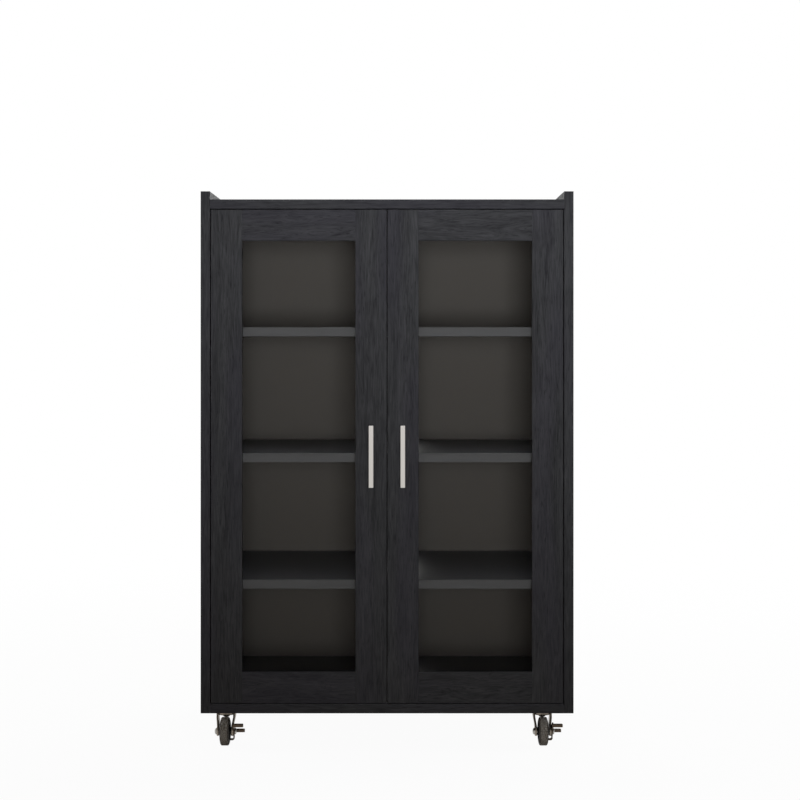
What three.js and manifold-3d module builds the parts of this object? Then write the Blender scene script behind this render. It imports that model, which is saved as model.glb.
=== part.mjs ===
// A media cabinet on four swivel casters: a flat-pack case with a fixed middle shelf and two adjustable
// shelves, closed by two inset glass doors on concealed hinges. The front casters have side brakes.
//
// Millimetres, +Z up, the front faces -Y. The origin is on the floor, at the middle of the bounding box.
import * as THREE from "three";
import { mergeVertices } from "three/addons/utils/BufferGeometryUtils.js";
import { RoundedBoxGeometry } from "three/addons/geometries/RoundedBoxGeometry.js";
import Module from "manifold-3d";

const wasm = await Module();
wasm.setup();

// ---- driving dimensions: the case ----

const caseWidth = 600;
const caseDepth = 400;
const sideHeight = 840; // side panels, from the case's underside to their top edge
const board = 15; // thickness of every case board and shelf
const edgeRadius = 0.6; // eased edges of the foil-wrapped boards
const topDrop = 13; // how far the top panel lies below the top edges of the sides
const backThick = 5;
const backLap = 6; // how far the back panel laps into the rebate of each side
const backPlay = 0.5; // the back panel's play in those rebates
const cableHoleRadius = 25;
const cableHoleSet = 27; // hole centres, to the right of the middle

const shelfTops = { upper: 687.5, middle: 482.5, lower: 276.5 }; // heights above the floor
const shelfSetback = 32; // from the case's front edge to the shelves' front edge
const shelfRearGap = 2;
const shelfSlack = 1.5; // at each end of an adjustable shelf
const pin = { radius: 2.5, inHole: 9, collarRadius: 4, collar: 1.4, free: 9 };
const pinDrop = 0.1; // between the pins and the shelf that lies on them
const pinHole = { radius: 2.8, depth: 10, pitch: 32 };
const pinSetFront = 78; // pin columns, from the case's front edge and from its rear edge
const pinSetRear = 62;

// ---- driving dimensions: the doors ----

const doorThick = 18;
const doorSideGap = 1.6;
const doorEndGap = 1.6;
const stileWidth = 50;
const railWidth = 50;
const lipThick = 8; // the front lip that the glass rests against
const glassLap = 8; // width of the rebate behind the lip
const glassThick = 4;
const glassPlay = 0.5;
const beadWidth = 7;
const beadSink = 0.4; // the bead stops this far short of the door's rear face

const handle = {
  section: 7.5,
  length: 99,
  reach: 28, // from the door's face to the front of the bar
  centres: 64, // between the two posts
  inset: 24.5, // from the door's lock edge to the middle of the bar
  lift: 1.2, // of its middle above the door's
  postRadius: 3.5,
  easing: 0.8,
};

// The hinges, measured from the door's hinge edge and from its face.
const hingeSetback = 95; // hinge centre to the nearer end of the door
const hingePin = { x: 16, y: 7.2, radius: 1.2, halfLength: 16 };
const cup = { centre: 21.5, radius: 17.5, mouth: 16.3, floor: 3.5, floorThick: 1, sides: 28 };
const cupBore = { clearance: 0.4, floor: 3.3 };
const flange = { width: 18, length: 54, corner: 6, ringRadius: 19, thick: 1 };
const hingePlateSize = { start: 36, length: 44, wing: 36, bar: 14, thick: 2.8 };
const arm = {
  thick: 3,
  width: 12,
  baseStart: 1.5, // clear of the mounting plate
  baseEnd: 9.5,
  rearEnd: 82,
  cross: 28.5, // front face of the part that crosses behind the door
  crank: 34, // its far side
  bend: 2,
  eyeRadius: 2.5,
  holeRadius: 1.5,
};

// ---- driving dimensions: the casters ----

const casterHeight = 66;
const wheelRadius = 23;
const wheelSides = 32; // the tread stands on one of its flats
const trail = 20; // the axle lies this far in front of the kingpin
const casterInsetLeft = 33; // wheel centre to the nearer side of the case
const casterInsetRight = 44;
const casterSet = 80; // kingpin to the nearer of the case's front and rear edges
const screwPlate = { width: 44, length: 56, corner: 5, thick: 2, holeX: 15, holeY: 20, holeRadius: 2.3 };
const kingpinRadius = 3.6;
const crown = { floor: 47, top: 61, radius: 15.5, thick: 2.4, hole: 4.4 };
const leg = {
  inner: 10.2, // inner faces at the axle
  thick: 3.2,
  top: 52.6,
  bendLow: 32, // between these heights the legs lean outwards
  bendHigh: 44,
  eyeRadius: 7.6, // round lower end, about the axle
  bore: 3.3,
};
const fitGap = 0.3; // between pieces that turn on the axle
const bolt = { shank: 3, headRadius: 5.5, headRise: 3.6, nutRadius: 5.2, nutThick: 2.2, tail: 0.7 };
const lever = { thick: 1.8, bossRadius: 8, beamWidth: 9, front: [-14, 12.8], rear: [14, -2] };
const ear = { reach: 31, depth: 8.6, height: 5, corner: 2.5, sheet: 1.6, tilt: 0.09, overlap: 6 };

// ---- places that follow from them ----

const frontY = (handle.reach - caseDepth) / 2;
const backY = frontY + caseDepth;
const caseFloor = casterHeight; // underside of the case
const sideTop = caseFloor + sideHeight;
const topPanelTop = sideTop - topDrop;
const openingTop = topPanelTop - board;
const openingFloor = caseFloor + board;
const innerHalf = caseWidth / 2 - board; // half the width between the sides
const innerDepth = caseDepth - backThick; // the case boards stop at the back panel
const doorWidth = innerHalf - 1.5 * doorSideGap; // the middle gap is shared by the two doors
const doorHeight = openingTop - openingFloor - 2 * doorEndGap;
const doorFloor = openingFloor + doorEndGap;
const rebateIn = glassLap - glassPlay; // how far the pane and its bead reach behind the lip
const hingeHeights = { lower: hingeSetback, upper: doorHeight - hingeSetback };
const axleHeight = wheelRadius * Math.cos(Math.PI / wheelSides);
const legOuter = leg.inner + leg.thick;
const leverStart = legOuter + fitGap;
const leverEnd = leverStart + lever.thick;

// ---- materials ----

function material(color, roughness, metalness) {
  return new THREE.MeshStandardMaterial({ color, roughness, metalness });
}

const blackOak = material(0x2b2b2e, 0.55, 0); // foil-wrapped boards
const hardboard = material(0x2e2b29, 0.7, 0); // back panel
const clearGlass = material(0x8f9290, 0.05, 0);
clearGlass.transparent = true;
clearGlass.opacity = 0.3;
const blackVinyl = material(0x1d1d1d, 0.6, 0); // glazing bead
const satinNickel = material(0xbdb8b1, 0.35, 0.9); // handles, hinges and pins
const casterSteel = material(0x77706a, 0.4, 0.85); // plates, forks, axles and brake levers
const blackRubber = material(0x2a2928, 0.8, 0); // wheels

// ---- geometry helpers ----

function solidOf(geometry) {
  const bare = geometry.clone();
  bare.deleteAttribute("normal");
  bare.deleteAttribute("uv");
  const merged = mergeVertices(bare, 1e-4);
  const vertProperties = merged.attributes.position.array;
  const triVerts = new Uint32Array(merged.index.array);
  return new wasm.Manifold(new wasm.Mesh({ numProp: 3, vertProperties, triVerts }));
}

function geometryOf(solid) {
  const { vertProperties, triVerts } = solid.getMesh();
  const geometry = new THREE.BufferGeometry();
  geometry.setAttribute("position", new THREE.BufferAttribute(vertProperties, 3));
  geometry.setIndex(new THREE.BufferAttribute(triVerts, 1));
  geometry.computeVertexNormals();
  return geometry;
}

function cut(geometry, ...tools) {
  return geometryOf(tools.reduce((solid, tool) => solid.subtract(solidOf(tool)), solidOf(geometry)));
}

function join(geometry, ...others) {
  return geometryOf(others.reduce((solid, other) => solid.add(solidOf(other)), solidOf(geometry)));
}

// A box between two opposite corners, with sharp edges.
function block([x0, y0, z0], [x1, y1, z1]) {
  const geometry = new THREE.BoxGeometry(Math.abs(x1 - x0), Math.abs(y1 - y0), Math.abs(z1 - z0));
  return geometry.translate((x0 + x1) / 2, (y0 + y1) / 2, (z0 + z1) / 2);
}

// The same with eased edges, for boards.
function plank([x0, y0, z0], [x1, y1, z1], radius = edgeRadius) {
  const size = [Math.abs(x1 - x0), Math.abs(y1 - y0), Math.abs(z1 - z0)];
  const geometry = new RoundedBoxGeometry(...size, 1, radius);
  return geometry.translate((x0 + x1) / 2, (y0 + y1) / 2, (z0 + z1) / 2);
}

// A cylinder along X, Y or Z, from one end of its axis.
function rod(axis, [x, y, z], radius, length, sides = 16) {
  const geometry = new THREE.CylinderGeometry(radius, radius, length, sides).translate(0, length / 2, 0);
  if (axis === "x") geometry.rotateZ(-Math.PI / 2);
  if (axis === "z") geometry.rotateX(Math.PI / 2);
  return geometry.translate(x, y, z);
}

// A profile of [radius, height] points turned round Z. It starts low and runs up the outside.
function turned(profile, sides) {
  const points = profile.map(([radius, height]) => new THREE.Vector2(radius, height));
  return new THREE.LatheGeometry(points, sides).rotateX(Math.PI / 2);
}

// A flat shape drawn on the XY plane and raised to a height.
function sheetAlongZ(shape, depth, curveSegments) {
  return new THREE.ExtrudeGeometry(shape, { depth, bevelEnabled: false, curveSegments });
}

// A flat shape drawn on the YZ plane and thickened along X from x0 to x1.
function sheetAlongX(shape, x0, x1, curveSegments = 6) {
  const geometry = sheetAlongZ(shape, x1 - x0, curveSegments);
  return geometry.rotateX(Math.PI / 2).rotateZ(Math.PI / 2).translate(x0, 0, 0);
}

// A flat shape drawn on the XZ plane and thickened along Y from y0 to y1.
function sheetAlongY(shape, y0, y1, curveSegments = 6) {
  return sheetAlongZ(shape, y1 - y0, curveSegments).rotateX(Math.PI / 2).translate(0, y1, 0);
}

function polygon(points) {
  return new THREE.Shape(points.map(([x, y]) => new THREE.Vector2(x, y)));
}

// A rectangle with round corners, centred on the origin.
function roundedRectangle(width, height, radius) {
  const cornerX = width / 2 - radius;
  const cornerY = height / 2 - radius;
  const shape = new THREE.Shape();
  shape.absarc(cornerX, cornerY, radius, 0, Math.PI / 2);
  shape.absarc(-cornerX, cornerY, radius, Math.PI / 2, Math.PI);
  shape.absarc(-cornerX, -cornerY, radius, Math.PI, 1.5 * Math.PI);
  shape.absarc(cornerX, -cornerY, radius, 1.5 * Math.PI, 2 * Math.PI);
  return shape;
}

function addHole(shape, x, y, radius) {
  shape.holes.push(new THREE.Path().absarc(x, y, radius, 0, 2 * Math.PI, true));
}

function mesh(name, geometry, finish) {
  const made = new THREE.Mesh(geometry, finish);
  made.name = name;
  return made;
}

// ---- the case ----

// Shelf pins carry the adjustable shelves, so their axes lie just under the shelf.
function pinHeight(shelfTop) {
  return shelfTop - board - pin.radius;
}

const pinShelves = { upper: shelfTops.upper, lower: shelfTops.lower };
const pinColumns = { front: frontY + pinSetFront, rear: backY - pinSetRear };

// The left side panel; the right one is its mirror image.
function sidePanelGeometry() {
  const inner = -innerHalf;
  const panel = plank([-caseWidth / 2, frontY, caseFloor], [inner, backY, sideTop]);
  const rebate = block(
    [inner - backLap, backY - backThick, caseFloor - 1],
    [inner + 1, backY + 1, topPanelTop],
  );
  const holes = [];
  for (const shelfTop of Object.values(pinShelves)) {
    for (const step of [-pinHole.pitch, 0, pinHole.pitch]) {
      for (const y of Object.values(pinColumns)) {
        const start = [inner - pinHole.depth, y, pinHeight(shelfTop) + step];
        holes.push(rod("x", start, pinHole.radius, pinHole.depth + 1, 12));
      }
    }
  }
  return cut(panel, rebate, ...holes);
}

function horizontalBoard(name, floor, halfWidth, startY, endY) {
  return mesh(name, plank([-halfWidth, startY, floor], [halfWidth, endY, floor + board]), blackOak);
}

// One round cable hole behind each of the four compartments.
function backPanel() {
  const floors = [openingFloor, shelfTops.lower, shelfTops.middle, shelfTops.upper];
  const ceilings = [shelfTops.lower - board, shelfTops.middle - board, shelfTops.upper - board, openingTop];
  const halfWidth = innerHalf + backLap - backPlay;
  const sheet = block([-halfWidth, backY - backThick, caseFloor], [halfWidth, backY, topPanelTop - backPlay]);
  const holes = floors.map((floor, i) => {
    const start = [cableHoleSet, backY - backThick - 1, (floor + ceilings[i]) / 2];
    return rod("y", start, cableHoleRadius, backThick + 2, 24);
  });
  return mesh("back_panel", cut(sheet, ...holes), hardboard);
}

function buildCase() {
  const group = new THREE.Group();
  const side = sidePanelGeometry();
  const right = new THREE.Group();
  right.scale.x = -1;
  right.add(mesh("side_panel_right", side, blackOak));
  group.add(mesh("side_panel_left", side, blackOak), right);

  const endY = frontY + innerDepth;
  const shelfFront = frontY + shelfSetback;
  const shelfBack = endY - shelfRearGap;
  const looseHalf = innerHalf - shelfSlack;
  group.add(
    horizontalBoard("top_panel", openingTop, innerHalf, frontY, endY),
    horizontalBoard("bottom_panel", caseFloor, innerHalf, frontY, endY),
    horizontalBoard("upper_shelf", shelfTops.upper - board, looseHalf, shelfFront, shelfBack),
    horizontalBoard("middle_shelf", shelfTops.middle - board, innerHalf, shelfFront, shelfBack),
    horizontalBoard("lower_shelf", shelfTops.lower - board, looseHalf, shelfFront, shelfBack),
    backPanel(),
  );
  return group;
}

// A steel peg with a collar: it plugs into the side panel and the shelf lies on its free end.
function shelfPinGeometry() {
  const collarEnd = pin.inHole + pin.collar;
  const end = collarEnd + pin.free;
  const profile = [
    [0, 0],
    [pin.radius, 0],
    [pin.radius, pin.inHole],
    [pin.collarRadius, pin.inHole],
    [pin.collarRadius, collarEnd],
    [pin.radius, collarEnd],
    [pin.radius, end],
    [0, end],
  ];
  return turned(profile, 12).rotateY(Math.PI / 2).translate(-pin.inHole, 0, 0);
}

function buildShelfPins() {
  const group = new THREE.Group();
  const geometry = shelfPinGeometry();
  for (const [sideName, sign] of [["left", 1], ["right", -1]]) {
    const side = new THREE.Group();
    side.scale.x = sign;
    for (const [shelf, shelfTop] of Object.entries(pinShelves)) {
      for (const [column, y] of Object.entries(pinColumns)) {
        const peg = mesh(`shelf_pin_${shelf}_${sideName}_${column}`, geometry, satinNickel);
        peg.position.set(-innerHalf, y, pinHeight(shelfTop) - pinDrop);
        side.add(peg);
      }
    }
    group.add(side);
  }
  return group;
}

// ---- doors, drawn with the hinge edge at x = 0, the face at y = 0 and the lower end at z = 0 ----

// A stile whose rebate for the glass runs its whole length. It starts at edgeX and grows towards the glass.
function stileGeometry(edgeX, direction) {
  const inner = edgeX + direction * stileWidth;
  const whole = plank([edgeX, 0, 0], [inner, doorThick, doorHeight]);
  const rebate = block(
    [inner - direction * glassLap, lipThick, -1],
    [inner + direction, doorThick + 1, doorHeight + 1],
  );
  return cut(whole, rebate);
}

// A rail: the front lip butts against the stiles, and the rear part laps into their rebates.
function railGeometry(outerZ, direction) {
  const start = stileWidth;
  const end = doorWidth - stileWidth;
  const lip = block([start, 0, outerZ], [end, lipThick, outerZ + direction * railWidth]);
  const rear = block(
    [start - glassLap, lipThick, outerZ],
    [end + glassLap, doorThick, outerZ + direction * (railWidth - glassLap)],
  );
  return join(lip, rear);
}

function hingeStile(name) {
  const radius = cup.radius + cupBore.clearance;
  const bores = Object.values(hingeHeights).map((height) =>
    rod("y", [cup.centre, cupBore.floor, height], radius, doorThick, cup.sides));
  return mesh(name, cut(stileGeometry(0, 1), ...bores), blackOak);
}

// The pane lies against the lips, with a little play inside the rebates.
function glassPane(name) {
  const x0 = stileWidth - rebateIn;
  const z0 = railWidth - rebateIn;
  const low = [x0, lipThick, z0];
  const high = [doorWidth - x0, lipThick + glassThick, doorHeight - z0];
  return mesh(name, block(low, high), clearGlass);
}

// A vinyl bead pressed into the rebate behind the pane.
function glazingBead(name) {
  const start = lipThick + glassThick;
  const end = doorThick - beadSink;
  const x0 = stileWidth - rebateIn;
  const z0 = railWidth - rebateIn;
  const outer = block([x0, start, z0], [doorWidth - x0, end, doorHeight - z0]);
  const hole = block(
    [x0 + beadWidth, start - 1, z0 + beadWidth],
    [doorWidth - x0 - beadWidth, end + 1, doorHeight - z0 - beadWidth],
  );
  return mesh(name, cut(outer, hole), blackVinyl);
}

// A square bar on two round posts.
function doorHandle(name) {
  const half = handle.section / 2;
  const x = doorWidth - handle.inset;
  const z = doorHeight / 2 + handle.lift;
  const low = [x - half, -handle.reach, z - handle.length / 2];
  const high = [x + half, handle.section - handle.reach, z + handle.length / 2];
  const bar = plank(low, high, handle.easing);
  const posts = [-1, 1].map((side) => {
    const start = [x, half - handle.reach, z + (side * handle.centres) / 2];
    return rod("y", start, handle.postRadius, handle.reach - half);
  });
  return mesh(name, join(bar, ...posts), satinNickel);
}

// The hinge cup in the stile, with its flange and the pin that the arm turns on.
function hingeCup(name, height) {
  const bowl = cut(
    rod("y", [cup.centre, cup.floor, height], cup.radius, doorThick - cup.floor + flange.thick, cup.sides),
    rod("y", [cup.centre, cup.floor + cup.floorThick, height], cup.mouth, doorThick, cup.sides),
  );
  const outline = roundedRectangle(flange.width, flange.length, flange.corner);
  const wings = sheetAlongY(outline, doorThick, doorThick + flange.thick).translate(cup.centre, 0, height);
  const ring = rod("y", [cup.centre, doorThick, height], flange.ringRadius, flange.thick, cup.sides);
  const opening = rod("y", [cup.centre, doorThick - 1, height], cup.mouth, flange.thick + 2, cup.sides);
  const { x, y, radius, halfLength } = hingePin;
  const wire = rod("z", [x, y, height - halfLength], radius, 2 * halfLength, 10);
  return mesh(name, join(bowl, cut(join(wings, ring), opening), wire), satinNickel);
}

// The mounting plate screwed to the side panel: a cross with its long bar front to back.
function hingePlate(name, height) {
  const { start, length, wing, bar, thick } = hingePlateSize;
  const along = sheetAlongX(roundedRectangle(length, bar, 1), 0, thick, 1);
  const across = sheetAlongX(roundedRectangle(bar, wing, 1), 0, thick, 1);
  const cross = join(along, across).translate(-doorSideGap, start + length / 2, height);
  return mesh(name, cross, satinNickel);
}

// The cranked arm: from the plate it crosses in front of the case, dips into the cup and holds the pin.
function hingeArm(name, height) {
  const { thick, baseStart, baseEnd, rearEnd, cross, crank, bend } = arm;
  const web = hingePin.y - thick / 2;
  const outline = new THREE.Shape();
  outline.moveTo(baseStart, rearEnd);
  outline.absarc(baseStart + bend, cross + bend, bend, Math.PI, 1.5 * Math.PI);
  outline.lineTo(crank - thick, cross);
  outline.lineTo(crank - thick, web + thick);
  outline.absarc(hingePin.x, hingePin.y, arm.eyeRadius, 0.2 * Math.PI, 1.8 * Math.PI);
  outline.absarc(crank - bend, web + bend, bend, 1.5 * Math.PI, 2 * Math.PI);
  outline.absarc(crank - bend, cross + thick - bend, bend, 0, Math.PI / 2);
  outline.lineTo(baseEnd, cross + thick);
  outline.lineTo(baseEnd, rearEnd);
  addHole(outline, hingePin.x, hingePin.y, arm.holeRadius);
  const geometry = sheetAlongZ(outline, arm.width, 6).translate(0, 0, height - arm.width / 2);
  return mesh(name, geometry, satinNickel);
}

// One door with its hardware, and the hinge halves that stay on the case.
function buildDoor(side) {
  const group = new THREE.Group();
  group.add(
    hingeStile(`${side}_door_hinge_stile`),
    mesh(`${side}_door_lock_stile`, stileGeometry(doorWidth, -1), blackOak),
    mesh(`${side}_door_bottom_rail`, railGeometry(0, 1), blackOak),
    mesh(`${side}_door_top_rail`, railGeometry(doorHeight, -1), blackOak),
    glassPane(`${side}_door_glass`),
    glazingBead(`${side}_door_glazing_bead`),
    doorHandle(`${side}_door_handle`),
  );
  for (const [place, height] of Object.entries(hingeHeights)) {
    group.add(
      hingeCup(`${side}_hinge_cup_${place}`, height),
      hingePlate(`${side}_hinge_plate_${place}`, height),
      hingeArm(`${side}_hinge_arm_${place}`, height),
    );
  }
  const sign = side === "left" ? 1 : -1;
  group.scale.x = sign;
  group.position.set(-sign * (innerHalf - doorSideGap), frontY, doorFloor);
  return group;
}

// ---- casters, drawn with the kingpin on the Z axis, the floor at z = 0 and the wheel in front ----

// The fixed half: screw plate, upper bearing race and the kingpin with its riveted head.
function casterPlate(name) {
  const floor = casterHeight - screwPlate.thick;
  const shape = roundedRectangle(screwPlate.width, screwPlate.length, screwPlate.corner);
  for (const x of [-screwPlate.holeX, screwPlate.holeX]) {
    for (const y of [-screwPlate.holeY, screwPlate.holeY]) {
      addHole(shape, x, y, screwPlate.holeRadius);
    }
  }
  const plate = sheetAlongZ(shape, screwPlate.thick, 4).translate(0, 0, floor);
  const race = turned([[0, 52], [9, 52], [12.4, 55.4], [12.4, floor + 1], [0, floor + 1]], 20);
  const headTop = crown.floor - fitGap;
  const kingpin = turned([
    [0, headTop - 4.7],
    [kingpinRadius, headTop - 4.7],
    [6, headTop - 2.3],
    [6, headTop],
    [kingpinRadius, headTop],
    [kingpinRadius, 53],
    [0, 53],
  ], 16);
  return mesh(name, join(plate, race, kingpin), casterSteel);
}

// The swivelling half: a round crown that holds the lower race, and two legs raked forward to the axle.
function casterFork(name) {
  const { floor, top, radius, thick, hole } = crown;
  const bowl = turned([
    [hole, floor],
    [radius - thick, floor],
    [radius, floor + thick],
    [radius, top],
    [radius - thick, top],
    [radius - thick, floor + thick],
    [hole, floor + thick],
    [hole, floor],
  ], 28);

  // both legs seen from the side
  const side = new THREE.Shape();
  side.moveTo(11, leg.top);
  side.lineTo(-11, leg.top);
  side.lineTo(-13.5, leg.bendHigh);
  side.absarc(-trail, axleHeight, leg.eyeRadius, 0.85 * Math.PI, 1.75 * Math.PI);
  side.lineTo(8, leg.bendHigh);
  addHole(side, -trail, axleHeight, leg.bore);
  const outline = solidOf(sheetAlongX(side, -radius - 1, radius + 1));

  // one leg seen from the front: upright beside the wheel, then out to the edge of the crown
  const upper = radius - leg.thick - 0.2;
  const strip = polygon([
    [leg.inner, 0],
    [legOuter, 0],
    [legOuter, leg.bendLow],
    [upper + leg.thick, leg.bendHigh],
    [upper + leg.thick, top],
    [upper, top],
    [upper, leg.bendHigh],
    [leg.inner, leg.bendLow],
  ]);
  const right = solidOf(sheetAlongY(strip, -2 * trail, trail));
  const legs = [right, right.mirror([1, 0, 0])].map((solid) => solid.intersect(outline));
  return mesh(name, geometryOf(solidOf(bowl).add(legs[0]).add(legs[1])), casterSteel);
}

// A bolt through both legs, with a domed head on the left and a nut on the right.
function casterAxle(name, nutStart) {
  const headStart = -legOuter - fitGap;
  const end = nutStart + bolt.nutThick + bolt.tail;
  const profile = [
    [0, headStart - bolt.headRise],
    [3, headStart - 3],
    [4.8, headStart - 1.6],
    [bolt.headRadius, headStart],
    [bolt.shank, headStart],
    [bolt.shank, end],
    [0, end],
  ];
  const shaft = turned(profile, 16).rotateY(Math.PI / 2);
  const nut = rod("x", [nutStart, 0, 0], bolt.nutRadius, bolt.nutThick, 6);
  const axle = mesh(name, join(shaft, nut), casterSteel);
  axle.position.set(0, -trail, axleHeight);
  return axle;
}

// A moulded wheel: wide hub, thinner web, and a rim that grows narrower towards a flat tread.
function casterWheel(name) {
  const half = [
    [3.4, 9.4],
    [7.4, 9.4],
    [8.2, 5.6],
    [12.8, 5.4],
    [14, 8.1],
    [19, 7.4],
    [21.8, 6.4],
    [wheelRadius, 5],
  ];
  const low = half.map(([radius, x]) => [radius, -x]);
  const profile = [...low, ...half.reverse(), low[0]];
  const geometry = turned(profile, wheelSides).rotateZ(Math.PI / wheelSides).rotateY(Math.PI / 2);
  const wheel = mesh(name, geometry, blackRubber);
  wheel.position.set(0, -trail, axleHeight);
  return wheel;
}

// One pedal ear: a shallow channel, open below, that reaches out sideways from the lever.
function pedalEar([y, z]) {
  const { reach, depth, height, corner, sheet, tilt, overlap } = ear;
  const shape = roundedRectangle(reach - leverStart + overlap, depth, corner);
  const whole = sheetAlongZ(shape, height, 3).translate((reach + leverStart - overlap) / 2, 0, -height / 2);
  const trim = block([0, -depth, -height], [leverStart, depth, height]);
  const hollow = block(
    [leverEnd, sheet - depth / 2, -height],
    [reach - sheet, depth / 2 - sheet, height / 2 - sheet],
  );
  return cut(whole, trim, hollow).rotateX(-tilt).translate(0, y, z);
}

// The side brake: a see-saw plate on the axle bolt with two pedal ears, and a shoe curled in to the wheel.
function brakeLever(name) {
  const [frontEndY, frontEndZ] = lever.front;
  const [rearEndY, rearEndZ] = lever.rear;
  const tilt = Math.atan2(rearEndZ - frontEndZ, rearEndY - frontEndY);
  const halfLength = (Math.hypot(rearEndY - frontEndY, rearEndZ - frontEndZ) + lever.beamWidth) / 2;
  const boss = rod("x", [leverStart, 0, 0], lever.bossRadius, lever.thick, 18);
  const beam = block(
    [leverStart, -halfLength, -lever.beamWidth / 2],
    [leverEnd, halfLength, lever.beamWidth / 2],
  );
  beam.rotateX(tilt).translate(0, (frontEndY + rearEndY) / 2, (frontEndZ + rearEndZ) / 2);

  const shoe = sheetAlongY(polygon([
    [leverStart, -5],
    [leverStart, -10.8],
    [leverStart - 1.4, -12.2],
    [8.6, -12.2],
    [8.6, -14.2],
    [leverStart - 0.4, -14.2],
    [leverEnd, -12],
    [leverEnd, -5],
  ]), -4, 4);

  const whole = join(boss, beam, shoe, pedalEar(lever.front), pedalEar(lever.rear));
  const bore = rod("x", [leverStart - 1, 0, 0], leg.bore, lever.thick + 2, 12);
  const made = mesh(name, cut(whole, bore), casterSteel);
  made.position.set(0, -trail, axleHeight);
  return made;
}

function buildCaster(place, x, y, braked) {
  const group = new THREE.Group();
  const nutStart = braked ? leverEnd + fitGap : leverStart;
  group.add(
    casterPlate(`${place}_caster_plate`),
    casterFork(`${place}_caster_fork`),
    casterAxle(`${place}_caster_axle`, nutStart),
    casterWheel(`${place}_caster_wheel`),
  );
  if (braked) group.add(brakeLever(`${place}_brake_lever`));
  group.position.set(x, y, 0);
  return group;
}

// ---- assembly ----

const cabinet = new THREE.Group();
cabinet.add(buildCase(), buildShelfPins(), buildDoor("left"), buildDoor("right"));

const casterLeftX = casterInsetLeft - caseWidth / 2;
const casterRightX = caseWidth / 2 - casterInsetRight;
const casterFrontY = frontY + casterSet;
const casterRearY = backY - casterSet;
cabinet.add(
  buildCaster("front_left", casterLeftX, casterFrontY, true),
  buildCaster("front_right", casterRightX, casterFrontY, true),
  buildCaster("rear_left", casterLeftX, casterRearY, false),
  buildCaster("rear_right", casterRightX, casterRearY, false),
);

export default cabinet;
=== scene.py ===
# A black oak media cabinet on casters: its finishes and fine shapes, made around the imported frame.
# Metres, +Z up, the front faces -Y.
import math

import bmesh
import bpy
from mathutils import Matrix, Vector


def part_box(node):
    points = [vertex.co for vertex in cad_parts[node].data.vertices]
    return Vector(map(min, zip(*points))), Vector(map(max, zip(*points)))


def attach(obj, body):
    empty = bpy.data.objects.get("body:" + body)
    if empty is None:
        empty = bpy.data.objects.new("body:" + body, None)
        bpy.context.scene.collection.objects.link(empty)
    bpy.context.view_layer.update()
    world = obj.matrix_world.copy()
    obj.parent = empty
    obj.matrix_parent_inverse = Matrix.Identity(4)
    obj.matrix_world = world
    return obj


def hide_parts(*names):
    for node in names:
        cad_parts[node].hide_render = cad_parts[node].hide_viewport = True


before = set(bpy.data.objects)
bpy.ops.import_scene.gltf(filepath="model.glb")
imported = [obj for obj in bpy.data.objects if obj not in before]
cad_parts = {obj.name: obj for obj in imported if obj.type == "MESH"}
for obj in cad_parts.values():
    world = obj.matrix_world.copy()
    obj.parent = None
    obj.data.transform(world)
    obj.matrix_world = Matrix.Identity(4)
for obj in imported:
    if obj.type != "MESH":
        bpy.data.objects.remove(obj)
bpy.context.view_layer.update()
mm = 0.001
axes = {"X": Vector((1, 0, 0)), "Y": Vector((0, 1, 0)), "Z": Vector((0, 0, 1))}


# Selecting and editing

def clearSelection():
    if bpy.context.mode != "OBJECT":
        bpy.ops.object.mode_set(mode="OBJECT")
    bpy.ops.object.select_all(action="DESELECT")


def takeUp(piece):
    clearSelection()
    piece.select_set(True)
    bpy.context.view_layer.objects.active = piece


def settle(piece):  # its place goes into its mesh
    takeUp(piece)
    bpy.ops.object.transform_apply(location=True, rotation=True, scale=True)
    return piece


def choose(piece, kind, test):  # opens the mesh and selects its VERT, EDGE or FACE parts that pass
    takeUp(piece)
    bpy.ops.object.mode_set(mode="EDIT")
    bpy.ops.mesh.select_mode(type=kind)
    bpy.ops.mesh.select_all(action="DESELECT")
    shape = bmesh.from_edit_mesh(piece.data)
    for part in {"VERT": shape.verts, "EDGE": shape.edges, "FACE": shape.faces}[kind]:
        if test(part):
            part.select_set(True)
    shape.select_flush_mode()
    bmesh.update_edit_mesh(piece.data)


def faceOutwards():  # in edit mode
    bpy.ops.mesh.select_all(action="SELECT")
    bpy.ops.mesh.normals_make_consistent(inside=False)


def isSharp(edge):
    return edge.calc_face_angle(0) > math.radians(25)


def isSquare(edge):  # leaves out the edges between the facets of an arc
    return edge.calc_face_angle(0) > math.radians(60)


def runsAlong(axis):
    return lambda edge: abs((edge.verts[0].co - edge.verts[1].co).normalized().dot(axes[axis])) > 0.99


def easeEdges(piece, width, segments=2, test=isSharp):
    choose(piece, "EDGE", test)
    bpy.ops.mesh.bevel(offset=width, segments=segments, affect="EDGES")
    clearSelection()
    return piece


# Starting and combining shapes

def startBlock(name, low, high):
    clearSelection()
    low, high = Vector(low), Vector(high)
    bpy.ops.mesh.primitive_cube_add(size=1, location=(low + high) / 2, scale=high - low)
    bpy.context.object.name = name
    return settle(bpy.context.object)


def startRod(name, axis, start, radius, length, sides=48):
    clearSelection()
    turned = {"X": (0, math.pi / 2, 0), "Y": (-math.pi / 2, 0, 0), "Z": (0, 0, 0)}[axis]
    middle = Vector(start) + axes[axis] * length / 2
    bpy.ops.mesh.primitive_cylinder_add(
        vertices=sides, radius=radius, depth=length, location=middle, rotation=turned)
    bpy.context.object.name = name
    return settle(bpy.context.object)


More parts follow.
